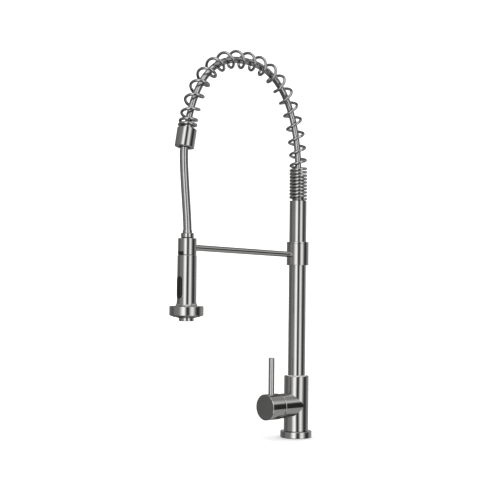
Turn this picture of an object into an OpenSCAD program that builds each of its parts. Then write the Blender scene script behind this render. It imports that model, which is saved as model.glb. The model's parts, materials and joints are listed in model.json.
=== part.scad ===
// Pull-down kitchen faucet with a spring arch, a docked spray head and a side-hub lever mixer.
// +Z is up, the origin is the centre of the base on the deck, and the spout points along -Y.

/* [Base and body] */
// Diameter of the base flange
flange_d = 51; // [48:0.5:58]
// Height of the base flange
flange_h = 10; // [8:0.5:14]
// Diameter of the valve body and of the hub that carries the handle
body_d = 40; // [40:0.5:44]
// Height of the top of the valve body
body_top = 99.5; // [98:0.5:110]

/* [Hub and handle] */
// Height of the hub's axis
hub_z = 52.1; // [50:0.1:54]
// Distance from the column's axis to the end of the hub
hub_end = 40.5; // [40:0.1:42]
// Gap between the hub and the handle cap
handle_gap = 2; // [2:0.1:3]
// Diameter of the handle cap
cap_d = 41.4; // [40:0.1:42]
// Length of the handle cap
cap_len = 27.2; // [25:0.1:30]
// Diameter of the lever
lever_d = 9.5; // [7:0.5:10]
// Height of the lever's tip
lever_top = 130.5; // [110:0.5:150]

/* [Column and arch] */
// Diameter of the column tube
column_d = 28; // [27:0.1:29]
// Height of the top of the column tube
column_top = 385; // [370:1:400]
// Height where the arch starts to curve
arch_z = 417.5; // [410:0.5:425]
// Distance from the column's axis to the arch's top
arch_back = 122; // [120:0.2:124]
// Distance from the arch's top to the end of its front half
arch_front = 117.2; // [116:0.2:118]
// Rise of the arch's centre line above its start
arch_rise = 182; // [170:1:190]
// Squareness of the arch: 2 is an ellipse
arch_power = 2.36; // [2.2:0.02:2.4]

/* [Spring and hose] */
// Diameter of the spring wire
wire_d = 4.6; // [3.6:0.1:4.8]
// Mean diameter of the spring
coil_d = 25; // [24.6:0.1:25.2]
// Pitch of the tight turns on the column
tight_pitch = 5.5; // [5.2:0.1:7]
// Turns of the spring, tight and open together
turns = 28.75; // [27:0.25:30]
// Diameter of the hose inside the spring
hose_d = 10.4; // [9:0.1:12]
// Diameter of the sleeved hose from the ferrule to the spray head
drop_hose_d = 12.8; // [11:0.1:13]

/* [Support arm and dock] */
// Diameter of the collar on the column
collar_d = 36; // [35:0.5:38]
// Height of the underside of the collar
collar_z = 279.5; // [270:0.5:285]
// Height of the collar
collar_h = 38; // [34:0.5:40]
// Diameter of the support arm
arm_d = 9.2; // [7:0.1:10]
// Distance from the column's axis to the spray head's axis
head_s = 232; // [231:0.5:233]
// Diameter of the dock ring
dock_d = 28; // [28:0.1:30]
// Height of the underside of the dock ring
dock_z = 290.5; // [290.5:0.1:291]
// Height of the dock ring
dock_h = 25; // [23:0.5:25]

/* [Spray head] */
// Diameter of the head's body at its top
head_d = 29; // [28.6:0.1:29.4]
// Diameter of the head's ring
ring_d = 51.5; // [48:0.5:56]
// Height of the underside of the head's ring
ring_z = 199.5; // [198.5:0.1:200.5]
// Height of the head's ring
ring_h = 14.6; // [13:0.1:15]
// Diameter of the nozzle
nozzle_d = 22.5; // [19:0.5:23]
// Height of the nozzle's mouth
nozzle_z = 191.5; // [190.5:0.1:193.5]
// Height of the middle of the spray toggle
toggle_z = 242; // [241.5:0.1:244.5]

/* [Hidden] */
$fn = 64;

nickel = "#b8b8b5";
nickel_dark = "#8d8d8b";
brass = "#c9a95a";
acetal = "#dcdcd6";
black = "#1c1c1d";
rubber = "#2b2b2b";
hose_grey = "#8f9091";
ceramic = "#efece6";

clear = 0.05;               // radial clearance of a running fit
gap = 0.3;                  // gap between curved faces that move past each other
past = 1;                   // how far a cutting tool runs past the face that it cuts

body_r = body_d / 2;
cap_r = cap_d / 2;
hub_r = body_r - 0.15;      // a little slimmer than the body, so that their surfaces meet cleanly
boss_r = 17;                // the body's foot, inside the flange

// Cartridge: distances from the column's axis along the hub
chamber_r = 17.5;
chamber_back = 4;
base_front = 9.4;
fixed_front = 12.4;
moving_front = 14.6;
carrier_front = 18;
rotor_back = 18.9;
pivot_s = 22.5;
rotor_front = 30;
case_front = 33;
rotor_tip = 36;
nut_front = 39.5;
ball_s = 16.8;
case_r = 17.2;
case_in_r = 13.6;
disc_r = 10.9;
stem_r = 3;
pivot_pin_r = 1.5;
ball_r = 2;
port_r = 2.4;
inlet_x = 7.5;
inlet_drop = 7.7;
outlet_rise = 9;

// Water ways and sockets under the body
way_y = 6;
way_r = 3;
inlet_r = 4.5;
inlet_depth = 14;
stud_y = -10.5;
stud_r = 3.4;
stud_depth = 18;

// Handle
cap_back = hub_end + handle_gap;
cap_front = cap_back + cap_len;
cap_wall = 1.5;
cap_face = 3.2;
cap_boss_r = 10;
cap_boss_back = 46;
lever_s = cap_back + 13.5;
lever_foot = 6;
grub_s = 51;
grub_r = 2;

// Spout joint
column_r = column_d / 2;
column_in_r = column_r - 1.2;
chamber_z = 74;
chamber_top_r = 16;
spigot_r = 13;
spigot_z = 76;
spigot_top = 114;
spigot_bore_r = 8;
washer_h = 0.5;
column_foot = body_top + washer_h + 0.1;
lock_z = 88;
lock_r = 2;
o_ring_r = 1.3;
o_ring_z = [80.5, 95];

// Spring and hose
wire_r = wire_d / 2;
coil_r = coil_d / 2;
wire_sides = 6;
turn_steps = 12;
tight_turns = 9;
settle = 0.35;              // share of the tightness that is left one turn after the tight ones
end_reach = 2.3;            // turns over which the spring closes up again at the ferrule
spring_start = 0;           // angle at which the wire starts
hose_r = hose_d / 2;
drop_hose_r = drop_hose_d / 2;
hose_way_r = 6.5;
hose_sides = 10;
hose_foot = 124;
hose_sag = 1;             // how far the hose lies inside the spring's centre line at the arch
core_r = 9.6;
socket_z = 360;
socket_core_top = 425;
arch_steps = 120;
arch_end = 16.4;            // parameter angle of the arch's end at the ferrule

ferrule_d = 29.8;
ferrule_len = 28.5;
ferrule_neck = 8;
guide_r = 9;
guide_len = 5;

// Collar, arm and dock
collar_r = collar_d / 2;
collar_top = collar_z + collar_h;
cap_ring_h = 3;
liner_wall = 1.2;
arm_r = arm_d / 2;
arm_start = [0, -15.6, 296.8];
arm_end = [0, -(head_s - 12.7), 301.8];
dock_r = dock_d / 2;
dock_top = dock_z + dock_h;
dock_liner_r = 10.3;
dock_bore_r = 12;
notch_w = 13.5;
notch_h = 5;
dock_screw_z = 307.5;

// Hose end
nut_r = 9.8;
nut_z = dock_top + gap;
nut_top = 323.5;
crimp_top = 328;
hose_end_z = 326;
drop_lead = 20;             // how far the hose keeps the ferrule's direction
drop_rise = 25;             // how far up it hangs straight above the nut
tail_r = 5;
tail_z = 296.5;
tail_bore_r = 3;
tail_groove = 1.1;

// Spray head
head_r = head_d / 2;
head_top = dock_z - 0.4;
waist_z = 222.5;
waist_r = head_r + 0.25;
shell_wall = 1.5;
shell_in_r = head_r - shell_wall;
neck_r = 9.4;
neck_top = nut_z - 0.2;
neck_z = 282.5;
inner_r = 9;
inner_z = 217.5;
ring_r = ring_d / 2;
ring_top = ring_z + ring_h;
ring_bore_r = 13.2;
face_r = ring_r - 1.2;
face_back_z = ring_z + 3;
nozzle_r = nozzle_d / 2;
face_low_z = nozzle_z + 4.5;
jet_count = 40;
jet_circle_r = 19;
jet_r = 1.1;

// Toggle and diverter
toggle_tall = 32.4;
toggle_wide = 10.4;
window_gap = 0.6;
toggle_pivot = 11;          // distance of the toggle's pin from the head's axis
toggle_front_r = 16.3;
toggle_back = 12.7;
toggle_pin_r = 0.8;
ear_in = 2.2;
ear_out = 4.6;
spool_r = 3.9;
spool_z = [228.5, 255.5];

// A ring or a disc about +Z whose outer edges are chamfered
module turned(r_in, r_out, z0, z1, c = 0) {
    rotate_extrude()
        polygon([[r_in, z0], [r_out - c, z0], [r_out, z0 + c],
            [r_out, z1 - c], [r_out - c, z1], [r_in, z1]]);
}

// A bore about +Z that runs past both of its ends
module bore(r, z0, z1) {
    translate([0, 0, z0])
        cylinder(h = z1 - z0, r = r);
}

// A ring of round section about +Z
module o_ring(r_mid, r, z) {
    translate([0, 0, z])
        rotate_extrude()
            translate([r_mid, 0])
                circle(r);
}

// Children drawn along +Z lie along the hub, with +Y up
module on_hub() {
    translate([0, 0, hub_z])
        rotate([90, 0, 0])
            children();
}

// Children stand on the spray head's axis
module on_head() {
    translate([0, -head_s, 0])
        children();
}

// Children drawn along +Z point along -Y from the head's axis at height z
module from_head(z) {
    translate([0, -head_s, z])
        rotate([90, 0, 0])
            children();
}

// Centre line of the arch in the plane of the spout: angle 180 is its foot on the column
function arch_point(a) =
    let (c = cos(a), across = sign(c) * pow(abs(c), 2 / arch_power))
    [0, -arch_back - (c < 0 ? arch_back : arch_front) * across,
        arch_z + arch_rise * pow(sin(a), 2 / arch_power)];

arch_points = [for (i = [0 : arch_steps])
    i == 0 ? [0, 0, arch_z] : arch_point(180 - i * (180 - arch_end) / arch_steps)];
arch_lengths = [for (i = 0, run = 0; i <= arch_steps;
    run = run + (i < arch_steps ? norm(arch_points[i + 1] - arch_points[i]) : 0), i = i + 1) run];
arch_length = arch_lengths[arch_steps];
spine_y = [for (i = [0 : arch_steps]) [arch_lengths[i], arch_points[i][1]]];
spine_z = [for (i = [0 : arch_steps]) [arch_lengths[i], arch_points[i][2]]];
ferrule_top = arch_points[arch_steps];
ferrule_way = unit(arch_points[arch_steps] - arch_points[arch_steps - 2]);
ferrule_foot = ferrule_top + ferrule_len * ferrule_way;
ferrule_tilt = atan2(-ferrule_way[1], -ferrule_way[2]);

function unit(v) = v / norm(v);

// Point of the centre line at a distance along it from the arch's foot
function spine(run) =
    run <= 0 ? [0, 0, arch_z + run]
    : run >= arch_length ? ferrule_top + (run - arch_length) * ferrule_way
    : [0, lookup(run, spine_y), lookup(run, spine_z)];

function spine_way(run) = unit(spine(run + 1.5) - spine(run - 1.5));

// The hose lies towards the inside of the arch, within the spring
function hose_point(run) =
    let (share = max(0, min(1, run / arch_length)))
    spine(run) - hose_sag * sin(180 * share) * cross(spine_way(run), [1, 0, 0]);

// Sweep of a regular polygon along a list of points, with flat ends
module swept(points, across, r, sides) {
    last = len(points) - 1;
    rings = [for (i = [0 : last])
        let (way = unit(points[min(i + 1, last)] - points[max(i - 1, 0)]),
            u = unit(cross(cross(way, across[i]), way)),
            v = cross(way, u))
        for (k = [0 : sides - 1])
            points[i] + r * (cos(360 * k / sides) * u + sin(360 * k / sides) * v)];
    walls = [for (i = [0 : last - 1]) for (k = [0 : sides - 1])
        let (a = i * sides + k, b = i * sides + (k + 1) % sides)
        [a, a + sides, b + sides, b]];
    foot = [[for (k = [0 : sides - 1]) k]];
    tip = [[for (k = [sides - 1 : -1 : 0]) last * sides + k]];
    polyhedron(points = rings, faces = concat(walls, foot, tip), convexity = 12);
}

// How tight the spring is after a number of turns, from 0 for open to 1 for tight
function tightness(turn) =
    turn < tight_turns ? 1
    : max(pow(settle, turn - tight_turns), exp(-pow((turns - turn) / end_reach, 4)));

function total(list) = list * [for (i = list) 1];

coil_steps = turns * turn_steps;
coil_foot = column_top + wire_r + 0.2 - arch_z;
coil_length = arch_length - wire_r - 0.2 - coil_foot;
tight_steps = total([for (i = [0 : coil_steps - 1]) tightness(i / turn_steps)]);
open_pitch = (coil_length * turn_steps - tight_pitch * tight_steps) / (coil_steps - tight_steps);
coil_runs = [for (i = 0, run = coil_foot; i <= coil_steps;
    run = run + (open_pitch + (tight_pitch - open_pitch) * tightness(i / turn_steps)) / turn_steps,
    i = i + 1) run];

module base_flange() {
    groove = [19.8, 23.6, 2.2];
    color(nickel)
        difference() {
            turned(boss_r + 0.05, flange_d / 2, 0, flange_h, 0.4);
            rotate_extrude()
                translate([groove[0], -past])
                    square([groove[1] - groove[0], groove[2] + past]);
        }
}

module deck_gasket() {
    color(rubber)
        turned(19.9, 23.5, 0, 2.1);
}

module valve_body() {
    inlet_z = hub_z - inlet_drop;
    outlet_z = hub_z + outlet_rise;
    color(nickel)
        difference() {
            union() {
                turned(0, boss_r, 0, flange_h);
                turned(0, body_r, flange_h, body_top, 0.8);
                on_hub()
                    turned(0, hub_r, 0, hub_end, 0.5);
            }
            bore(chamber_top_r, chamber_z, body_top + past);
            on_hub()
                bore(chamber_r, chamber_back, hub_end + past);
            translate([0, stud_y, 0])
                bore(stud_r, -past, stud_depth);
            for (side = [-1, 1])
                translate([side * inlet_x, way_y, 0]) {
                    bore(inlet_r, -past, inlet_depth);
                    bore(way_r, inlet_depth - past, inlet_z);
                    translate([0, 0, inlet_z])
                        rotate([90, 0, 0])
                            bore(way_r, 0, way_y + chamber_back + past);
                }
            translate([0, way_y, outlet_z])
                rotate([90, 0, 0])
                    bore(way_r, 0, way_y + chamber_back + past);
            translate([0, way_y, 0])
                bore(way_r, outlet_z, chamber_z + past);
            translate([0, 0, lock_z])
                rotate([-90, 0, 0])
                    bore(lock_r + 0.02, chamber_top_r - 2, body_r + past);
        }
}

module spout_bush() {
    color(acetal)
        difference() {
            turned(spigot_r + clear, chamber_top_r - 0.02, chamber_z + 0.5, body_top);
            translate([0, 0, lock_z])
                rotate([-90, 0, 0])
                    bore(lock_r + gap, 0, body_r);
        }
}

module thrust_washer() {
    color(acetal)
        turned(spigot_r + gap, column_r + 1, body_top, body_top + washer_h);
}

module spout_lock_screw() {
    tip_r = 1.6;
    socket_r = 1.1;
    color(nickel_dark)
        translate([0, 0, lock_z])
            rotate([-90, 0, 0])
                difference() {
                    union() {
                        bore(tip_r, 12, 15);
                        bore(lock_r, 15, body_r - 0.6);
                    }
                    translate([0, 0, body_r - 3])
                        cylinder(h = 3, r = socket_r, $fn = 6);
                }
}

// The three places where water crosses the cartridge: two inlets and the outlet
module at_ports() {
    for (side = [-1, 1])
        translate([side * inlet_x, -inlet_drop, 0])
            children();
    translate([0, outlet_rise, 0])
        children();
}

module cartridge_seals() {
    color(rubber)
        on_hub()
            at_ports()
                turned(way_r + 0.05, way_r + 1.3, chamber_back, chamber_back + 1.4);
}

module cartridge_base() {
    seat_z = chamber_back + 0.5;
    color(acetal)
        on_hub()
            difference() {
                turned(0, case_r, seat_z, base_front);
                at_ports() {
                    bore(way_r + 1.4, seat_z - past, chamber_back + 1.4);
                    bore(port_r, seat_z - past, base_front + past);
                }
            }
}

module ceramic_disc_fixed() {
    color(ceramic)
        on_hub()
            difference() {
                turned(0, case_in_r - 0.1, base_front, fixed_front);
                at_ports()
                    bore(port_r, base_front - past, fixed_front + past);
            }
}

module ceramic_disc_moving() {
    pocket = [9, 13, 1];
    color(ceramic)
        on_hub()
            difference() {
                turned(0, disc_r, fixed_front + clear, moving_front);
                translate([-pocket[0] / 2, -pocket[1] / 2, fixed_front - past])
                    cube([pocket[0], pocket[1], pocket[2] + past]);
            }
}

module disc_carrier() {
    color(acetal)
        on_hub()
            difference() {
                turned(0, disc_r, moving_front, carrier_front);
                bore(ball_r + gap, moving_front - past, carrier_front + past);
            }
}

module cartridge_case() {
    mouth_r = 10;
    color(acetal)
        on_hub()
            difference() {
                turned(0, case_r, base_front, case_front);
                bore(case_in_r, base_front - past, rotor_front + clear);
                bore(mouth_r, rotor_front - past, case_front + past);
            }
}

module cartridge_rotor() {
    neck = 9.7;
    slot_x = stem_r + 0.15;
    back_slot = [-4.4, 5.1];
    front_slot = [-8.6, 3.5];
    color(acetal)
        on_hub()
            difference() {
                union() {
                    turned(0, case_in_r - gap, rotor_back, rotor_front);
                    turned(0, neck, rotor_front, rotor_tip);
                }
                translate([-slot_x, back_slot[0], rotor_back - past])
                    cube([2 * slot_x, back_slot[1] - back_slot[0], 6 + past]);
                translate([-slot_x, front_slot[0], pivot_s - 1])
                    cube([2 * slot_x, front_slot[1] - front_slot[0], rotor_tip - pivot_s + 2]);
                translate([0, 0, pivot_s])
                    rotate([0, 90, 0])
                        bore(pivot_pin_r + 0.01, -case_r, case_r);
            }
}

module stem_pin() {
    half = 12.4;
    color(nickel_dark)
        on_hub()
            translate([0, 0, pivot_s])
                rotate([0, 90, 0])
                    bore(pivot_pin_r, -half, half);
}

module retaining_nut() {
    mouth_r = 12.4;
    slots = 6;
    color(brass)
        on_hub()
            difference() {
                turned(mouth_r, chamber_r - 0.05, case_front, nut_front);
                for (i = [0 : slots - 1])
                    rotate(i * 360 / slots)
                        translate([mouth_r - 1, -1.5, nut_front - 3])
                            cube([3.5, 3, 3 + past]);
            }
}

module lever_stem() {
    ball_neck_r = 1.2;
    stem_end = lever_s + 3;
    color(nickel_dark)
        on_hub()
            difference() {
                union() {
                    translate([0, 0, ball_s])
                        sphere(ball_r);
                    bore(ball_neck_r, ball_s, pivot_s - stem_r);
                    bore(stem_r, pivot_s - stem_r, stem_end);
                }
                translate([0, 0, pivot_s])
                    rotate([0, 90, 0])
                        bore(pivot_pin_r + clear, -2 * stem_r, 2 * stem_r);
            }
}

module handle_cap() {
    color(nickel)
        on_hub()
            difference() {
                turned(0, cap_r, cap_back, cap_front, 0.5);
                difference() {
                    bore(cap_r - cap_wall, cap_back - past, cap_front - cap_face);
                    bore(cap_boss_r, cap_boss_back, cap_front);
                }
                bore(stem_r + 0.01, cap_back, lever_s + 3.2);
                translate([0, 0, lever_s])
                    rotate([-90, 0, 0])
                        bore(lever_d / 2 + 0.01, lever_foot - 0.2, cap_r + past);
                translate([0, 0, grub_s])
                    rotate([90, 0, 0]) {
                        bore(grub_r + 0.01, 0, cap_boss_r + past);
                        bore(grub_r + 0.8, cap_boss_r + past, cap_r + past);
                    }
            }
}

module lever_rod() {
    rod_r = lever_d / 2;
    color(nickel)
        translate([0, -lever_s, 0])
            turned(0, rod_r, hub_z + lever_foot, lever_top, 0.8);
}

module handle_set_screw() {
    color(nickel_dark)
        on_hub()
            translate([0, 0, grub_s])
                rotate([90, 0, 0])
                    difference() {
                        bore(grub_r, stem_r + 0.02, cap_boss_r - 0.5);
                        translate([0, 0, cap_boss_r - 3])
                            cylinder(h = 3, r = 1.2, $fn = 6);
                    }
}

module spout_spigot() {
    seat_r = column_in_r - 0.02;
    color(brass)
        difference() {
            union() {
                bore(spigot_r, spigot_z, column_foot);
                bore(seat_r, column_foot, spigot_top);
            }
            bore(spigot_bore_r, spigot_z - past, spigot_top + past);
            for (z = o_ring_z)
                turned(spigot_r - 2 * o_ring_r, body_r, z - o_ring_r, z + o_ring_r);
            turned(spigot_r - 1.5, body_r, lock_z - lock_r - gap, lock_z + lock_r + gap);
        }
}

module spigot_o_rings() {
    color(rubber)
        for (z = o_ring_z)
            o_ring(spigot_r - o_ring_r, o_ring_r - 0.02, z);
}

module column_tube() {
    color(nickel)
        turned(column_in_r, column_r, column_foot, column_top, 0.3);
}

module hose_connector() {
    hex_r = 10;
    crimp_r = 8.6;
    foot = spigot_top - 8;
    color(brass)
        difference() {
            union() {
                bore(spigot_bore_r - 0.02, foot, spigot_top);
                translate([0, 0, spigot_top])
                    cylinder(h = 7, r = hex_r, $fn = 6);
                bore(crimp_r, spigot_top + 7, hose_foot + 18);
            }
            bore(hose_r + clear, hose_foot, hose_foot + 18 + past);
            bore(4, foot - past, hose_foot + past);
        }
}

module spring_socket() {
    color(nickel_dark)
        difference() {
            union() {
                bore(column_in_r - 0.02, socket_z, column_top);
                turned(0, core_r, column_top, socket_core_top, 1);
            }
            bore(hose_way_r, socket_z - past, socket_core_top + past);
        }
}

module arch_spring() {
    points = [for (i = [0 : coil_steps])
        let (angle = spring_start + 360 * i / turn_steps, run = coil_runs[i],
            up = cross(spine_way(run), [1, 0, 0]))
        spine(run) + coil_r * (cos(angle) * [1, 0, 0] + sin(angle) * up)];
    across = [for (i = [0 : coil_steps]) points[i] - spine(coil_runs[i])];
    color(nickel)
        swept(points, across, wire_r, wire_sides);
}

// Children drawn along +Z lie along the ferrule, from its top
module on_ferrule() {
    translate(ferrule_top)
        rotate([180 - ferrule_tilt, 0, 0])
            children();
}

module spring_ferrule() {
    color(nickel)
        on_ferrule()
            difference() {
                union() {
                    turned(0, ferrule_d / 2, 0, ferrule_len, 0.4);
                    bore(core_r, -ferrule_neck, 1);
                }
                bore(hose_way_r + gap, -ferrule_neck - past, ferrule_len + past);
                bore(guide_r + 0.05, ferrule_len - guide_len, ferrule_len + past);
            }
}

module hose_guide_bush() {
    color(black)
        on_ferrule()
            turned(drop_hose_r + gap, guide_r, ferrule_len - guide_len, ferrule_len - 1);
}

module spray_hose_upper() {
    ring_step = 16;
    run_start = hose_foot - arch_z;
    run_end = arch_length + ferrule_len;
    count = round((run_end - run_start) / ring_step);
    runs = [for (i = [0 : count]) run_start + i * (run_end - run_start) / count];
    color(hose_grey)
        swept([for (run = runs) hose_point(run)], [for (run = runs) [1, 0, 0]], hose_r, hose_sides);
}

// Route of the hose from the ferrule to the spray head's nut
function drop_point(t) =
    let (a = ferrule_foot, b = a + drop_lead * ferrule_way,
        d = [0, -head_s, hose_end_z], c = d + [0, 0, drop_rise])
    pow(1 - t, 3) * a + 3 * t * pow(1 - t, 2) * b + 3 * t * t * (1 - t) * c + pow(t, 3) * d;

module spray_hose_drop() {
    rings = 10;
    route = concat([ferrule_foot, ferrule_foot + ferrule_way],
        [for (i = [1 : rings]) drop_point(i / rings)]);
    color(hose_grey)
        swept(route, [for (point = route) [1, 0, 0]], drop_hose_r, hose_sides);
}

module arm_collar() {
    groove_z = collar_top - 2 * cap_ring_h;
    color(nickel)
        difference() {
            turned(column_r + liner_wall + 0.05, collar_r, collar_z, collar_top - cap_ring_h, 0.4);
            rotate_extrude()
                translate([collar_r - 0.4, groove_z])
                    square([past, 0.5]);
            along_arm()
                bore(arm_r + 0.01, -past, collar_r);
            translate([0, 0, collar_z + collar_h / 2])
                rotate([-90, 0, 0])
                    bore(2.52, column_r, collar_r + past);
        }
}

module collar_cap() {
    color(nickel)
        turned(column_r + 0.1, collar_r, collar_top - cap_ring_h, collar_top, 0.4);
}

module collar_liner() {
    color(black)
        turned(column_r + 0.02, column_r + liner_wall, collar_z, collar_top - cap_ring_h);
}

module collar_set_screw() {
    seat = column_r + liner_wall + 0.02;
    color(nickel_dark)
        translate([0, 0, collar_z + collar_h / 2])
            rotate([-90, 0, 0])
                difference() {
                    bore(2.5, seat, collar_r - 0.6);
                    translate([0, 0, collar_r - 2])
                        cylinder(h = 2, r = 1.4, $fn = 6);
                }
}

// Children drawn along +Z lie along the support arm, from its start
module along_arm() {
    way = arm_end - arm_start;
    translate(arm_start)
        rotate([atan2(-way[1], way[2]), 0, 0])
            children();
}

module support_arm() {
    color(nickel)
        along_arm()
            bore(arm_r, 0, norm(arm_end - arm_start));
}

module dock_notch(grow = 0) {
    half = notch_w / 2 + grow;
    translate([-half, -dock_r - past, dock_z - past])
        cube([2 * half, dock_r - dock_liner_r + past, notch_h + past + grow]);
}

module dock_ring() {
    color(nickel)
        difference() {
            on_head()
                turned(dock_bore_r + 0.02, dock_r, dock_z, dock_top, 0.5);
            on_head()
                dock_notch(0.05);
            along_arm()
                bore(arm_r + 0.01, 50, norm(arm_end - arm_start) + past);
            from_head(dock_screw_z)
                bore(1.22, dock_liner_r, dock_r + past);
        }
}

module dock_liner() {
    color(black)
        on_head()
            union() {
                turned(dock_liner_r, dock_bore_r, dock_z + 0.3, dock_top - 0.3);
                intersection() {
                    dock_notch();
                    turned(dock_liner_r, dock_r - 0.3, dock_z + 0.3, dock_z + notch_h);
                }
            }
}

module dock_set_screw() {
    color(nickel_dark)
        from_head(dock_screw_z)
            bore(1.2, dock_bore_r + 0.05, dock_r - 0.4);
}

module hose_nut() {
    lip = 1.2;
    color(nickel)
        on_head()
            difference() {
                turned(0, nut_r, nut_z, nut_top, lip);
                bore(tail_r + 0.02, nut_z - past, nut_top + past);
            }
}

module hose_crimp() {
    color(nickel)
        on_head()
            difference() {
                rotate_extrude()
                    polygon([[0, nut_top], [7.2, nut_top], [7.2, nut_top + 1.6],
                        [6.9, crimp_top], [0, crimp_top]]);
                bore(drop_hose_r + 0.1, nut_top + 1.5, crimp_top + past);
                bore(tail_bore_r, nut_top - past, crimp_top);
            }
}

module hose_tail() {
    groove_z = tail_z + 3;
    color(brass)
        on_head()
            difference() {
                bore(tail_r, tail_z, nut_top);
                bore(tail_bore_r, tail_z - past, nut_top + past);
                turned(tail_r - tail_groove, nut_r, groove_z, groove_z + 2);
            }
}

module tail_o_ring() {
    color(rubber)
        on_head()
            o_ring(tail_r - tail_groove / 2, tail_groove / 2 - 0.02, tail_z + 4);
}

module head_neck() {
    color(nickel_dark)
        on_head()
            difference() {
                union() {
                    bore(shell_in_r - 0.02, neck_z, head_top - 1);
                    turned(0, neck_r, head_top - 1, neck_top, 0.6);
                }
                bore(tail_r + clear, tail_z - 2, neck_top + past);
                bore(7, neck_z - past, neck_z + 7);
                bore(3.5, neck_z, tail_z);
            }
}

module neck_o_ring() {
    color(rubber)
        on_head()
            turned(7.2, shell_in_r - 0.1, neck_z - 1.2, neck_z);
}

module head_shell() {
    steps = 8;
    top = head_top;
    cove_z = ring_top + 0.3;
    cove_w = 2.6;
    color(nickel)
        difference() {
            on_head()
                rotate_extrude()
                    polygon(concat(
                        [[shell_in_r, cove_z], [waist_r + cove_w, cove_z]],
                        [for (i = [0 : steps])
                            let (a = 90 * i / steps)
                            [waist_r + cove_w * (1 - sin(a)), waist_z - (waist_z - cove_z) * cos(a)]],
                        [[head_r, top - 0.5], [head_r - 0.5, top], [neck_r + 0.1, top],
                            [neck_r + 0.1, top - 1], [shell_in_r, top - 1]]));
            toggle_oval(toggle_tall + 2 * window_gap, toggle_wide + 2 * window_gap, inner_r, head_r + 3);
        }
}

// An upright oval that points along -Y from the head's axis
module toggle_oval(tall, wide, near, far) {
    reach = (tall - wide) / 2;
    from_head(toggle_z) {
        for (side = [-1, 1])
            translate([0, side * reach, near])
                cylinder(h = far - near, r = wide / 2);
        translate([-wide / 2, -reach, near])
            cube([wide, 2 * reach, far - near]);
    }
}

module head_inner_body() {
    top = neck_z - 1.2;
    bore_top = spool_z[1] + 6;
    color(acetal)
        difference() {
            union() {
                on_head() {
                    bore(inner_r, inner_z, top);
                    bore(shell_in_r - 0.2, top - 8, top);
                }
                for (side = [-1, 1])
                    intersection() {
                        from_head(toggle_z)
                            translate([side > 0 ? ear_in : -ear_out, -4, inner_r - 2])
                                cube([ear_out - ear_in, 8, 5.1]);
                        on_head()
                            bore(shell_in_r - 0.1, inner_z, top);
                    }
            }
            on_head() {
                bore(spool_r + clear, inner_z - past, bore_top);
                bore(7, top - 9, top + past);
                bore(2.5, bore_top - past, top - 8);
            }
            from_head(toggle_z) {
                translate([-1.5, -3.2, 0])
                    cube([3, 6.4, inner_r + past]);
                translate([0, 0, toggle_pivot])
                    rotate([0, 90, 0])
                        bore(toggle_pin_r + 0.01, -shell_in_r, shell_in_r);
            }
        }
}

module check_valve() {
    top = neck_z + 5;
    color(acetal)
        on_head()
            difference() {
                turned(0, 6.9, top - 13, top);
                bore(3, top - 13 - past, top - 4);
                bore(2, top - 13, top + past);
            }
}

module inlet_screen() {
    color(nickel_dark)
        on_head()
            turned(0.8, 6.9, neck_z + 5, neck_z + 6);
}

module head_ring() {
    edge = 1;
    color(nickel)
        on_head()
            difference() {
                turned(ring_bore_r, ring_r, ring_z, ring_top, edge);
                bore(face_r + 0.02, ring_z - past, face_back_z);
            }
}

module spray_face() {
    color(nickel_dark)
        on_head()
            difference() {
                rotate_extrude()
                    polygon([[nozzle_r, face_low_z], [face_r, ring_z], [face_r, face_back_z],
                        [nozzle_r, face_back_z]]);
                at_jets()
                    bore(jet_r + 0.01, face_low_z - past, face_back_z + past);
            }
}

// The places of the spray jets, on one circle
module at_jets() {
    for (i = [0 : jet_count - 1])
        rotate(i * 360 / jet_count)
            translate([jet_circle_r, 0, 0])
                children();
}

module spray_nozzles() {
    color(rubber)
        on_head()
            at_jets()
                bore(jet_r, ring_z - 2.2, face_back_z);
}

module aerator_housing() {
    color(nickel)
        on_head()
            difference() {
                union() {
                    turned(0, nozzle_r, nozzle_z, face_back_z + 2, 0.6);
                    bore(ring_bore_r - 0.1, face_back_z, ring_top);
                }
                bore(nozzle_r - 1.6, nozzle_z - past, nozzle_z + 5);
                bore(5, nozzle_z, ring_top + past);
            }
}

module aerator_screen() {
    holes_in_ring = 8;
    color(black)
        on_head()
            difference() {
                turned(0, nozzle_r - 1.62, nozzle_z + 1.6, nozzle_z + 5);
                for (r = [3, 6])
                    for (i = [0 : holes_in_ring - 1])
                        rotate((i + r / 6) * 360 / holes_in_ring)
                            translate([r, 0, 0])
                                bore(0.7, nozzle_z, nozzle_z + 6);
            }
}

module toggle_pin() {
    color(nickel_dark)
        from_head(toggle_z)
            translate([0, 0, toggle_pivot])
                rotate([0, 90, 0])
                    bore(toggle_pin_r, -ear_out + 0.1, ear_out - 0.1);
}

module spray_toggle() {
    lug = [1.9, 3];
    finger = [1.2, 1];
    finger_tip = 3;
    color(black)
        difference() {
            union() {
                intersection() {
                    toggle_oval(toggle_tall, toggle_wide, toggle_back, toggle_front_r + 1);
                    on_head()
                        bore(toggle_front_r, toggle_z - toggle_tall, toggle_z + toggle_tall);
                }
                from_head(toggle_z) {
                    translate([-lug[0], -lug[1], toggle_pivot - 1.5])
                        cube([2 * lug[0], 2 * lug[1], toggle_back - toggle_pivot + 2]);
                    translate([-finger[0], -finger[1], finger_tip])
                        cube([2 * finger[0], 2 * finger[1], toggle_pivot - 1.4 - finger_tip]);
                }
            }
            from_head(toggle_z)
                translate([0, 0, toggle_pivot])
                    rotate([0, 90, 0])
                        bore(toggle_pin_r + clear, -toggle_wide, toggle_wide);
        }
}

module diverter_spool() {
    groove_half = 1.4;
    groove_r = 2.4;
    color(nickel_dark)
        on_head()
            difference() {
                bore(spool_r, spool_z[0], spool_z[1]);
                turned(groove_r, 2 * spool_r, toggle_z - groove_half, toggle_z + groove_half);
            }
}

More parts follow.
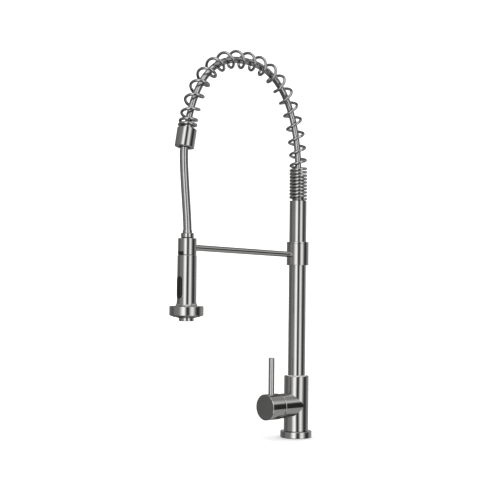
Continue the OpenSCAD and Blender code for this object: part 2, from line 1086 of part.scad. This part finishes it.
base_flange();
deck_gasket();
valve_body();
spout_bush();
thrust_washer();
spout_lock_screw();
cartridge_seals();
cartridge_base();
ceramic_disc_fixed();
cartridge_case();
retaining_nut();
cartridge_rotor();
stem_pin();
ceramic_disc_moving();
disc_carrier();
lever_stem();
handle_cap();
lever_rod();
handle_set_screw();
spout_spigot();
spigot_o_rings();
column_tube();
hose_connector();
spring_socket();
arch_spring();
spring_ferrule();
hose_guide_bush();
spray_hose_upper();
spray_hose_drop();
arm_collar();
collar_cap();
collar_liner();
collar_set_screw();
support_arm();
dock_ring();
dock_liner();
dock_set_screw();
hose_nut();
hose_crimp();
hose_tail();
tail_o_ring();
head_neck();
neck_o_ring();
head_shell();
head_inner_body();
check_valve();
inlet_screen();
head_ring();
spray_face();
spray_nozzles();
aerator_housing();
aerator_screen();
toggle_pin();
spray_toggle();
diverter_spool();
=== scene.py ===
"""The looks of a pull-down kitchen faucet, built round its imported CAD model. Lengths are in metres."""
import json
import math

import bmesh
import bpy
from mathutils import Matrix, Vector


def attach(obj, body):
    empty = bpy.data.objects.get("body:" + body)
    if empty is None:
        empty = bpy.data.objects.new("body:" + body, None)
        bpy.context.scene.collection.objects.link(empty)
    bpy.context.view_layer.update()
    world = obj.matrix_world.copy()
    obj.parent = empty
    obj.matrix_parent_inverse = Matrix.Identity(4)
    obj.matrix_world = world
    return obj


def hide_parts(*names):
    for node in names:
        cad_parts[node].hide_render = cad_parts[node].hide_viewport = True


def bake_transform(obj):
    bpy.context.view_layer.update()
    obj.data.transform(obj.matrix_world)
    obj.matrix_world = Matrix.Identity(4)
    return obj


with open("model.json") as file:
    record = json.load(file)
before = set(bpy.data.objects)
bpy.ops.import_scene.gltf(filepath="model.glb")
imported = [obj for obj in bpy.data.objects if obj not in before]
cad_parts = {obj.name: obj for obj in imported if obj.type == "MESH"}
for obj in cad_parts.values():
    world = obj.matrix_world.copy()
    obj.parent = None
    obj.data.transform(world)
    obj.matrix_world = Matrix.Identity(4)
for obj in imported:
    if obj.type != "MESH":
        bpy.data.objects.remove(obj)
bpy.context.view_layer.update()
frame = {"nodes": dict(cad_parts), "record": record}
NODES = frame["nodes"]

# ---------------------------------------------------------------- driving sizes
# Sizes that the CAD model has too are the same as in part.scad.
HEAD_S = 0.232
COLUMN_TOP = 0.385
ARCH_Z = 0.4175
ARCH_BACK = 0.122
ARCH_FRONT = 0.1172
ARCH_RISE = 0.182
ARCH_POWER = 2.36
ARCH_END = math.radians(16.4)
ARCH_STEPS = 480
AIM_STEPS = 8                   # steps at the arch's end that give the ferrule its direction
WAY_STEP = 0.0015               # how far on either side of a point the spine's direction is measured
WIRE_R = 0.0023
WIRE_GAP = 0.0002               # between the spring's ends and what they rest on
WIRE_STEPS = 40                 # points in each turn of the spring
WIRE_SIDES = 14
COIL_R = 0.0125
TURNS = 28.75
TIGHT_TURNS = 9
TIGHT_PITCH = 0.0055
SETTLE = 0.35
END_REACH = 2.3
HOSE_R = 0.0052
DROP_HOSE_R = 0.0064
HOSE_SAG = 0.001
HOSE_FOOT = 0.124
HOSE_RINGS = 140
HOSE_SIDES = 32
FERRULE_LEN = 0.0285
HOSE_END_Z = 0.326
DROP_LEAD = 0.020
DROP_RISE = 0.025
DROP_RINGS = 64
TOGGLE_Z = 0.242
TOGGLE_HALF_TALL = 0.0162
TOGGLE_HALF_WIDE = 0.0052
TOGGLE_RIM = 0.0155             # distances of the toggle's rim, crown and back from the head's axis
TOGGLE_CROWN = 0.0164
TOGGLE_BACK = 0.0128
TOGGLE_LIP = 0.0006             # straight edge between the toggle's rim and its side
DISH_AT = 0.6                   # middle of the finger dish, as a share of the toggle's half height
DISH_REACH = 0.0042
DISH_DEPTH = 0.55               # share of the crown that the dish takes away
RING_Z = 0.1995
JET_COUNT = 40
JET_CIRCLE = 0.019
JET_R = 0.0011
JET_SIDES = 14
MESH_Z = 0.1928
MESH_R = 0.0095
MESH_PITCH = 0.0011
MESH_WIRE_R = 0.00014
MESH_STEPS = 24                 # points along each wire


# ---------------------------------------------------------------- centre lines
SIDEWAYS = Vector((1, 0, 0))    # the arch and the hoses lie in the plane across this


def arch_point(angle):
    """Point of the arch's centre line; angle pi is its foot on the column."""
    across = math.copysign(abs(math.cos(angle)) ** (2 / ARCH_POWER), math.cos(angle))
    half = ARCH_BACK if across < 0 else ARCH_FRONT
    rise = max(0.0, math.sin(angle)) ** (2 / ARCH_POWER)
    return Vector((0, -ARCH_BACK - half * across, ARCH_Z + ARCH_RISE * rise))


arch = [arch_point(math.pi - i * (math.pi - ARCH_END) / ARCH_STEPS) for i in range(ARCH_STEPS + 1)]
arch_runs = [0.0]
for a, b in zip(arch, arch[1:]):
    arch_runs.append(arch_runs[-1] + (b - a).length)
arch_length = arch_runs[-1]
ferrule_way = (arch[-1] - arch[-1 - AIM_STEPS]).normalized()
ferrule_foot = arch[-1] + FERRULE_LEN * ferrule_way


def spine(run):
    """Point of the spring's centre line at a distance along it from the arch's foot."""
    if run <= 0:
        return Vector((0, 0, ARCH_Z + run))
    if run >= arch_length:
        return arch[-1] + (run - arch_length) * ferrule_way
    low, high = 0, ARCH_STEPS
    while high - low > 1:
        middle = (low + high) // 2
        low, high = (middle, high) if arch_runs[middle] <= run else (low, middle)
    share = (run - arch_runs[low]) / (arch_runs[high] - arch_runs[low])
    return arch[low].lerp(arch[high], share)


def spine_way(run):
    """Direction of the spring's centre line."""
    return (spine(run + WAY_STEP) - spine(run - WAY_STEP)).normalized()


def tightness(turn):
    """How tight the spring is, from 0 for open to 1 for tight."""
    if turn < TIGHT_TURNS:
        return 1.0
    return max(SETTLE ** (turn - TIGHT_TURNS), math.exp(-(((TURNS - turn) / END_REACH) ** 4)))


def coil_line():
    """Centre line of the spring's wire, with its outward directions."""
    steps = round(TURNS * WIRE_STEPS)
    share = [tightness(i / WIRE_STEPS) for i in range(steps)]
    foot = COLUMN_TOP + WIRE_R + WIRE_GAP - ARCH_Z
    length = arch_length - WIRE_R - WIRE_GAP - foot
    open_pitch = (length * WIRE_STEPS - TIGHT_PITCH * sum(share)) / (steps - sum(share))
    run, points, outward = foot, [], []
    for i in range(steps + 1):
        angle = 2 * math.pi * i / WIRE_STEPS
        up = spine_way(run).cross(SIDEWAYS)
        out = math.cos(angle) * SIDEWAYS + math.sin(angle) * up
        points.append(spine(run) + COIL_R * out)
        outward.append(out)
        if i < steps:
            run += (open_pitch + (TIGHT_PITCH - open_pitch) * share[i]) / WIRE_STEPS
    return points, outward


def hose_point(run):
    """Point of the hose inside the spring, which lies towards the inside of the arch."""
    share = min(max(run / arch_length, 0.0), 1.0)
    inward = SIDEWAYS.cross(spine_way(run))
    return spine(run) + HOSE_SAG * math.sin(math.pi * share) * inward


def drop_point(t):
    """Route of the hose from the ferrule to the spray head's nut."""
    end = Vector((0, -HEAD_S, HOSE_END_Z))
    lead = ferrule_foot + DROP_LEAD * ferrule_way
    rise = end + Vector((0, 0, DROP_RISE))
    return ((1 - t) ** 3 * ferrule_foot + 3 * t * (1 - t) ** 2 * lead
            + 3 * t * t * (1 - t) * rise + t ** 3 * end)


# ---------------------------------------------------------------- mesh helpers
def new_object(name, bm, smooth=True):
    """Makes an object of the mesh and puts it in the scene."""
    mesh = bpy.data.meshes.new(name)
    bmesh.ops.recalc_face_normals(bm, faces=bm.faces)
    bm.to_mesh(mesh)
    bm.free()
    obj = bpy.data.objects.new(name, mesh)
    bpy.context.scene.collection.objects.link(obj)
    if smooth:
        mesh.shade_smooth()
    return obj


def swept(name, points, across, radius, sides):
    """Round tube along points, closed at both ends."""
    bm = bmesh.new()
    rings = []
    for i, point in enumerate(points):
        way = (points[min(i + 1, len(points) - 1)] - points[max(i - 1, 0)]).normalized()
        u = way.cross(across[i]).cross(way).normalized()
        v = way.cross(u)
        rings.append([bm.verts.new(point + radius * (math.cos(a) * u + math.sin(a) * v))
                      for a in (2 * math.pi * k / sides for k in range(sides))])
    for low, high in zip(rings, rings[1:]):
        for k in range(sides):
            bm.faces.new((low[k], low[(k + 1) % sides], high[(k + 1) % sides], high[k]))
    bm.faces.new(rings[0])
    bm.faces.new(rings[-1])
    return new_object(name, bm)


# ---------------------------------------------------------------- materials
NICKEL = (0.575, 0.571, 0.56)
# The spring wire's nickel is darker than NICKEL: painted shade, standing in for the shade between the
# spring's coils
SHADED_WIRE_NICKEL = (0.53, 0.527, 0.52)
HOSE_GREY = (0.52, 0.525, 0.53)
NICKEL_ROUGHNESS = 0.085
METAL_SPREAD = (0.85, 1.2)      # lowest and highest roughness, as factors
PLASTIC_SPREAD = (0.85, 1.15)
HOSE_ROUGHNESS = (0.15, 0.20)
NOISE_SPAN = (0.3, 0.7)         # holds nearly all values of a noise texture
METAL_TINT = 0.02               # how far a colour varies, as a share of it
PLASTIC_TINT = 0.08
HOSE_TINT = 0.05
BRUSH_DEPTH = 0.0000025
HOSE_DEPTH = 0.0000015
# Grains per metre along X, Y and Z
METAL_CLOUDS = (35, 35, 35)
HOSE_CLOUDS = (60, 60, 60)
UPRIGHT_BRUSH = (60, 60, 3600)
LEVEL_BRUSH = (60, 3600, 60)
WIRE_GRAIN = (700, 700, 700)
PLASTIC_GRAIN = (1800, 1800, 1800)
HOSE_GRAIN = (2200, 2200, 1100)


def new_material(name):
    """A node material, with its tree and its shader."""
    material = bpy.data.materials.new(name)
    material.use_nodes = True
    tree = material.node_tree
    return material, tree, tree.nodes["Principled BSDF"]


def noise(tree, per_metre):
    """Noise in the object's own space, with its grains per metre along X, Y and Z."""
    nodes, links = tree.nodes, tree.links
    place = nodes.new("ShaderNodeTexCoord")
    mapping = nodes.new("ShaderNodeMapping")
    mapping.inputs["Scale"].default_value = per_metre
    links.new(place.outputs["Object"], mapping.inputs["Vector"])
    grain = nodes.new("ShaderNodeTexNoise")
    grain.inputs["Scale"].default_value = 1
    grain.inputs["Detail"].default_value = 2
    links.new(mapping.outputs["Vector"], grain.inputs["Vector"])
    return grain.outputs["Fac"]


def ramp(tree, value, low, high):
    """Maps noise to the range low..high."""
    scaled = tree.nodes.new("ShaderNodeMapRange")
    scaled.inputs["From Min"].default_value = NOISE_SPAN[0]
    scaled.inputs["From Max"].default_value = NOISE_SPAN[1]
    scaled.inputs["To Min"].default_value = low
    scaled.inputs["To Max"].default_value = high
    tree.links.new(value, scaled.inputs["Value"])
    return scaled.outputs["Result"]


def tint(tree, value, colour, spread):
    """The colour, made a little darker and lighter by noise."""
    mix = tree.nodes.new("ShaderNodeMix")
    mix.data_type = "RGBA"
    mix.inputs["A"].default_value = (*(c * (1 - spread) for c in colour), 1)
    mix.inputs["B"].default_value = (*(min(1, c * (1 + spread)) for c in colour), 1)
    tree.links.new(ramp(tree, value, 0, 1), mix.inputs["Factor"])
    return mix.outputs["Result"]


def relief(tree, shader, height, depth):
    """Relief of the surface, with its depth in metres."""
    bump = tree.nodes.new("ShaderNodeBump")
    bump.inputs["Distance"].default_value = depth
    tree.links.new(height, bump.inputs["Height"])
    tree.links.new(bump.outputs["Normal"], shader.inputs["Normal"])


def brushed_metal(name, colour, roughness, lines=UPRIGHT_BRUSH):
    """Metal with fine brush lines across the axis along which lines has the most grains."""
    material, tree, shader = new_material(name)
    shader.inputs["Metallic"].default_value = 1
    cloud = noise(tree, METAL_CLOUDS)
    tree.links.new(tint(tree, cloud, colour, METAL_TINT), shader.inputs["Base Color"])
    brush = noise(tree, lines)
    least, most = (roughness * factor for factor in METAL_SPREAD)
    tree.links.new(ramp(tree, brush, least, most), shader.inputs["Roughness"])
    relief(tree, shader, brush, BRUSH_DEPTH)
    return material


def plastic(name, colour, roughness, depth):
    """Moulded plastic or rubber with a fine grain."""
    material, tree, shader = new_material(name)
    grain = noise(tree, PLASTIC_GRAIN)
    tree.links.new(tint(tree, grain, colour, PLASTIC_TINT), shader.inputs["Base Color"])
    least, most = (roughness * factor for factor in PLASTIC_SPREAD)
    tree.links.new(ramp(tree, grain, least, most), shader.inputs["Roughness"])
    relief(tree, shader, grain, depth)
    return material


def hose_cover(name):
    """Satin grey hose cover with a fine, shallow grain."""
    material, tree, shader = new_material(name)
    shader.inputs["Metallic"].default_value = 1
    cloud = noise(tree, HOSE_CLOUDS)
    tree.links.new(tint(tree, cloud, HOSE_GREY, HOSE_TINT), shader.inputs["Base Color"])
    grain = noise(tree, HOSE_GRAIN)
    tree.links.new(ramp(tree, grain, *HOSE_ROUGHNESS), shader.inputs["Roughness"])
    relief(tree, shader, grain, HOSE_DEPTH)
    return material


nickel_upright = brushed_metal("brushed_nickel_upright", NICKEL, NICKEL_ROUGHNESS)
nickel_level = brushed_metal("brushed_nickel_level", NICKEL, NICKEL_ROUGHNESS, LEVEL_BRUSH)
# Same brushed nickel as the rest, with the darker colour above: painted shade between the spring's coils
shaded_wire_nickel = brushed_metal("brushed_nickel_wire_painted_shade", SHADED_WIRE_NICKEL, 0.05, WIRE_GRAIN)
MATERIALS = {
    "brushed_nickel": nickel_upright,
    "dark_steel": brushed_metal("dark_steel", (0.30, 0.30, 0.30), 0.28),
    "brass": brushed_metal("brass", (0.72, 0.56, 0.27), 0.25),
    "acetal": plastic("acetal", (0.8, 0.8, 0.77), 0.45, 0.00001),
    "black_plastic": plastic("black_plastic", (0.006, 0.006, 0.0065), 0.4, 0.000006),
    "rubber": plastic("rubber", (0.022, 0.022, 0.022), 0.55, 0.00002),
    "hose_cover": hose_cover("hose_cover"),
    "ceramic": plastic("ceramic", (0.88, 0.87, 0.84), 0.15, 0.000002),
}
LEVEL_NODES = ("handle_cap", "support_arm")     # turned or drawn along Y, so brushed round it


def paint(obj, material):
    """Makes the material the object's only one."""
    obj.data.materials.clear()
    obj.data.materials.append(material)


for part in frame["record"]["subparts"]:
    paint(NODES[part["node"]], MATERIALS[part["material_slot"]])
for name in LEVEL_NODES:
    paint(NODES[name], nickel_level)


# ---------------------------------------------------------------- spring and hoses
def finish_piece(piece, slot, body, replaced=None, material=None):
    """Gives a piece its material, attaches it to its body and hides the CAD node that it replaces."""
    paint(piece, material or MATERIALS[slot])
    if body:
        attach(piece, body)
    if replaced:
        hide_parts(replaced)


wire_points, wire_outward = coil_line()
spring = swept("spring_wire", wire_points, wire_outward, WIRE_R, WIRE_SIDES)
finish_piece(spring, "brushed_nickel", "spout", "arch_spring", shaded_wire_nickel)

run_start, run_end = HOSE_FOOT - ARCH_Z, arch_length + FERRULE_LEN
upper_runs = [run_start + i * (run_end - run_start) / HOSE_RINGS for i in range(HOSE_RINGS + 1)]
hose_upper = swept("hose_upper", [hose_point(run) for run in upper_runs],
                   [SIDEWAYS] * len(upper_runs), HOSE_R, HOSE_SIDES)
finish_piece(hose_upper, "hose_cover", "spout", "spray_hose_upper")

drop_line = [drop_point(i / DROP_RINGS) for i in range(DROP_RINGS + 1)]
hose_drop = swept("hose_drop", drop_line, [SIDEWAYS] * len(drop_line), DROP_HOSE_R, HOSE_SIDES)
finish_piece(hose_drop, "hose_cover", None, "spray_hose_drop")
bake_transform(hose_drop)


# ---------------------------------------------------------------- spray toggle
def toggle_piece():
    """Oval rocker on the head: a rounded rim, a low crown and a finger dish at each end."""
    reach = TOGGLE_HALF_TALL - TOGGLE_HALF_WIDE
    sides, rings = 12, 14
    turn = [math.pi * i / sides for i in range(sides)]
    outline = [(1, reach * (2 * i / sides - 1), 0.0) for i in range(sides)]
    outline += [(math.cos(a), reach, math.sin(a)) for a in turn]
    outline += [(-1, reach * (1 - 2 * i / sides), 0.0) for i in range(sides)]
    outline += [(-math.cos(a), -reach, -math.sin(a)) for a in turn]
    bm = bmesh.new()

    def place(across, up, radius):
        """Vertex at a distance from the head's axis."""
        out = math.sqrt(radius ** 2 - across ** 2)
        return bm.verts.new((across, -HEAD_S - out, TOGGLE_Z + up))

    def ring(share, radius_at):
        """Row of vertices along the outline, drawn in to a share of its size."""
        row = []
        for side, base, bulge in outline:
            across = TOGGLE_HALF_WIDE * share * side
            up = base + TOGGLE_HALF_WIDE * share * bulge
            row.append(place(across, up, radius_at(up, share)))
        return row

    def crown(up, share):
        """Distance of the toggle's front from the head's axis."""
        dish = math.exp(-((abs(up) - DISH_AT * TOGGLE_HALF_TALL) / DISH_REACH) ** 2)
        dome = math.sqrt(max(0.0, 1 - share ** 5))
        dished = 1 - DISH_DEPTH * dish * (1 - share ** 2)
        return TOGGLE_RIM + (TOGGLE_CROWN - TOGGLE_RIM) * dome * dished

    rows = [ring(math.sin(0.5 * math.pi * i / rings), crown) for i in range(rings + 1)]
    rows.append(ring(1, lambda up, share: TOGGLE_RIM - TOGGLE_LIP))
    rows.append(ring(1, lambda up, share: TOGGLE_BACK))
    count = len(outline)
    for low, high in zip(rows, rows[1:]):
        for k in range(count):
            bm.faces.new((low[k], low[(k + 1) % count], high[(k + 1) % count], high[k]))
    bm.faces.new(rows[-1])
    bmesh.ops.remove_doubles(bm, verts=bm.verts, dist=1e-6)
    return new_object("toggle_face", bm)


finish_piece(toggle_piece(), "black_plastic", "toggle", "spray_toggle")


# ---------------------------------------------------------------- spray face and nozzle
def lathe(bm, profile, sides, centre):
    """Surface of revolution about an upright axis through centre, from a list of (radius, height).

    It returns the rings of vertices, so that the caller can close the ends."""
    rings = [[bm.verts.new(centre + Vector((r * math.cos(a), r * math.sin(a), z)))
              for a in (2 * math.pi * k / sides for k in range(sides))] for r, z in profile]
    for low, high in zip(rings, rings[1:]):
        for k in range(sides):
            bm.faces.new((low[k], low[(k + 1) % sides], high[(k + 1) % sides], high[k]))
    return rings


def jets_piece():
    """Rubber spray jets with rounded tips and a hole in each."""
    tip_z, root_z = RING_Z - 0.0018, RING_Z + 0.003
    hole_r, hole_depth = 0.00042, 0.0012
    profile = [(JET_R, root_z), (JET_R, tip_z + 0.0005), (JET_R * 0.9, tip_z + 0.00015),
               (JET_R * 0.7, tip_z), (hole_r, tip_z), (hole_r, tip_z + hole_depth)]
    bm = bmesh.new()
    for i in range(JET_COUNT):
        angle = 2 * math.pi * i / JET_COUNT
        centre = Vector((JET_CIRCLE * math.cos(angle), -HEAD_S + JET_CIRCLE * math.sin(angle), 0))
        rings = lathe(bm, profile, JET_SIDES, centre)
        bm.faces.new(rings[0])
        bm.faces.new(rings[-1])
    return new_object("spray_jets", bm)


def mesh_piece():
    """Woven wire mesh in the aerator's mouth."""
    bm = bmesh.new()
    count = int(MESH_R / MESH_PITCH)
    for i in range(-count, count + 1):
        offset = i * MESH_PITCH
        half = math.sqrt(MESH_R ** 2 - offset ** 2)
        for turned in (False, True):
            previous = None
            for k in range(MESH_STEPS + 1):
                along = half * (2 * k / MESH_STEPS - 1)
                weave = MESH_WIRE_R * math.cos(math.pi * (along / MESH_PITCH + i + turned))
                corners = [(along, offset + side * MESH_WIRE_R, MESH_Z + weave + lift * MESH_WIRE_R)
                           for side, lift in ((-1, 0), (0, 1), (1, 0), (0, -1))]
                ring = [bm.verts.new((y if turned else x, -HEAD_S + (x if turned else y), z))
                        for x, y, z in corners]
                if previous:
                    for j in range(4):
                        bm.faces.new((previous[j], previous[(j + 1) % 4], ring[(j + 1) % 4], ring[j]))
                else:
                    bm.faces.new(ring)
                previous = ring
            bm.faces.new(previous)
    return new_object("aerator_mesh", bm)


finish_piece(jets_piece(), "rubber", "spray_head", "spray_nozzles")
finish_piece(mesh_piece(), "dark_steel", "spray_head")

# ---------------------------------------------------------------- stage: camera, floor, light
CAMERA_AT = Vector((1.2888, -1.2699, 0.2486))
CAMERA_AZIMUTH = math.radians(47.897)
CAMERA_PITCH = math.radians(1.746)
CAMERA_ROLL = math.radians(0.641)
CAMERA_LENS = 79.46
FLOOR_R = 6
FLOOR_Z = -0.0005               # just below the flange, so that the two faces don't fight
FLOOR_COLOUR = (0.95, 0.95, 0.95, 1)

camera_data = bpy.data.cameras.new("camera")
camera_data.lens = CAMERA_LENS
camera_data.sensor_width = 36
camera = bpy.data.objects.new("camera", camera_data)
bpy.context.scene.collection.objects.link(camera)
camera.matrix_world = (Matrix.Translation(CAMERA_AT) @ Matrix.Rotation(CAMERA_AZIMUTH, 4, "Z")
                       @ Matrix.Rotation(math.radians(90) + CAMERA_PITCH, 4, "X")
                       @ Matrix.Rotation(CAMERA_ROLL, 4, "Z"))
bpy.context.scene.camera = camera

bm = bmesh.new()
bmesh.ops.create_circle(bm, cap_ends=True, segments=64, radius=FLOOR_R)
floor = new_object("floor", bm, smooth=False)
floor.location.z = FLOOR_Z
floor.visible_glossy = False
floor_material, tree, shader = new_material("floor")
shader.inputs["Base Color"].default_value = FLOOR_COLOUR
shader.inputs["Roughness"].default_value = 1
paint(floor, floor_material)

# Brightness of the soft boxes round the object: (degrees from the camera's side, brightness)
BANDS = [(-180, 0.30), (-150, 0.25), (-128, 0.20), (-110, 0.14), (-95, 0.14), (-83, 0.26), (-68, 0.27),
         (-54, 0.28), (-44, 0.34), (-36, 0.70), (-28, 1.25), (-16, 1.70), (-7, 1.20), (0, 0.35), (6, 0.05),
         (18, 0.07), (26, 0.45), (34, 1.15), (46, 1.35), (54, 0.85), (64, 0.32), (72, 0.09), (88, 0.02),
         (98, 0.08), (106, 0.22), (120, 0.34), (140, 0.50), (180, 0.30)]
# Brightness overhead: (height, from -1 straight down to 1 straight up, brightness)
OVERHEAD = [(0.25, 0.33), (0.36, 0.40), (0.45, 0.85), (0.54, 0.62), (0.62, 0.40), (0.70, 0.33),
            (0.80, 0.45), (1.0, 0.60)]
# Factor on the overhead brightness: (degrees from the camera's side, factor)
AROUND = [(-180, 0.15), (-150, 0.2), (-110, 0.6), (-70, 0.5), (-45, 2.2), (45, 2.2), (68, 0.8), (82, 1),
          (125, 1), (150, 0.25), (180, 0.15)]
# How far up and down the boxes reach: (degrees from the camera's side, factor on the height)
REACH = [(-180, 1), (-95, 1), (-70, 0.45), (66, 0.45), (80, 1), (180, 1)]
# Brightness below the boxes: (degrees from the camera's side, brightness)
BELOW = [(-180, 0.20), (-150, 0.12), (45, 0.08), (68, 0.14), (86, 0.42), (140, 0.42), (180, 0.20)]
ROOM_LEVEL = 1.4
BAND_EDGES = ((-0.30, -0.22), (0.25, 0.33))     # heights between which the bands fade in and out


def studio_world():
    """A white room for the camera and for diffuse light, and tall soft boxes for reflections."""
    world = bpy.data.worlds.new("studio")
    world.use_nodes = True
    bpy.context.scene.world = world
    nodes, links = world.node_tree.nodes, world.node_tree.links
    nodes.clear()

    def maths(operation, value, *others):
        """Result of a math node, from sockets and numbers."""
        node = nodes.new("ShaderNodeMath")
        node.operation = operation
        links.new(value, node.inputs[0])
        for i, other in enumerate(others, 1):
            if isinstance(other, (int, float)):
                node.inputs[i].default_value = other
            else:
                links.new(other, node.inputs[i])
        return node.outputs[0]

    def levels(share, stops):
        """Looks up brightness in stops of (share from 0 to 1, brightness)."""
        top = max(brightness for _, brightness in stops)
        node = nodes.new("ShaderNodeValToRGB")
        elements = node.color_ramp.elements
        while len(elements) < len(stops):
            elements.new(0.5)
        for element, (position, brightness) in zip(elements, stops):
            element.position = position
            element.color = (*[brightness / top] * 3, 1)
        links.new(share, node.inputs["Fac"])
        return maths("MULTIPLY", node.outputs["Color"], top)

    def levels_round(stops):
        """Looks up brightness by direction, in stops of (degrees from the camera's side, brightness)."""
        return levels(share, [((angle + 180) / 360, brightness) for angle, brightness in stops])

    def fade(value, low, high):
        """Rises smoothly from 0 at low to 1 at high."""
        node = nodes.new("ShaderNodeMapRange")
        node.interpolation_type = "SMOOTHSTEP"
        node.inputs["From Min"].default_value = low
        node.inputs["From Max"].default_value = high
        links.new(value, node.inputs["Value"])
        return node.outputs["Result"]

    def mix(weight, low, high):
        """Goes from low to high as the weight goes from 0 to 1."""
        node = nodes.new("ShaderNodeMix")
        links.new(weight, node.inputs["Factor"])
        links.new(low, node.inputs["A"])
        links.new(high, node.inputs["B"])
        return node.outputs["Result"]

    place = nodes.new("ShaderNodeTexCoord")
    split = nodes.new("ShaderNodeSeparateXYZ")
    links.new(place.outputs["Generated"], split.inputs["Vector"])
    height = split.outputs["Z"]
    azimuth = maths("ARCTAN2", split.outputs["Y"], split.outputs["X"])
    camera_side = math.pi / 2 - CAMERA_AZIMUTH
    turned = maths("WRAP", maths("ADD", azimuth, camera_side + math.pi), 2 * math.pi, 0.0)
    share = maths("DIVIDE", turned, 2 * math.pi)
    risen = maths("MULTIPLY_ADD", height, 0.5, 0.5)
    overhead = levels(risen, [((z + 1) / 2, brightness) for z, brightness in OVERHEAD])
    reached = maths("MULTIPLY", height, levels_round(REACH))
    low = mix(fade(reached, *BAND_EDGES[0]), levels_round(BELOW), levels_round(BANDS))
    high = maths("MULTIPLY", overhead, levels_round(AROUND))
    studio = mix(fade(reached, *BAND_EDGES[1]), low, high)

    reflected = nodes.new("ShaderNodeBackground")
    links.new(studio, reflected.inputs["Strength"])
    room = nodes.new("ShaderNodeBackground")
    room.inputs["Strength"].default_value = ROOM_LEVEL
    path = nodes.new("ShaderNodeLightPath")
    blend = nodes.new("ShaderNodeMixShader")
    links.new(path.outputs["Is Glossy Ray"], blend.inputs["Fac"])
    links.new(room.outputs[0], blend.inputs[1])
    links.new(reflected.outputs[0], blend.inputs[2])
    for background in (reflected, room):
        background.inputs["Color"].default_value = (1, 1, 1, 1)
    out = nodes.new("ShaderNodeOutputWorld")
    links.new(blend.outputs[0], out.inputs["Surface"])


studio_world()
bpy.context.scene.view_settings.view_transform = "Standard"
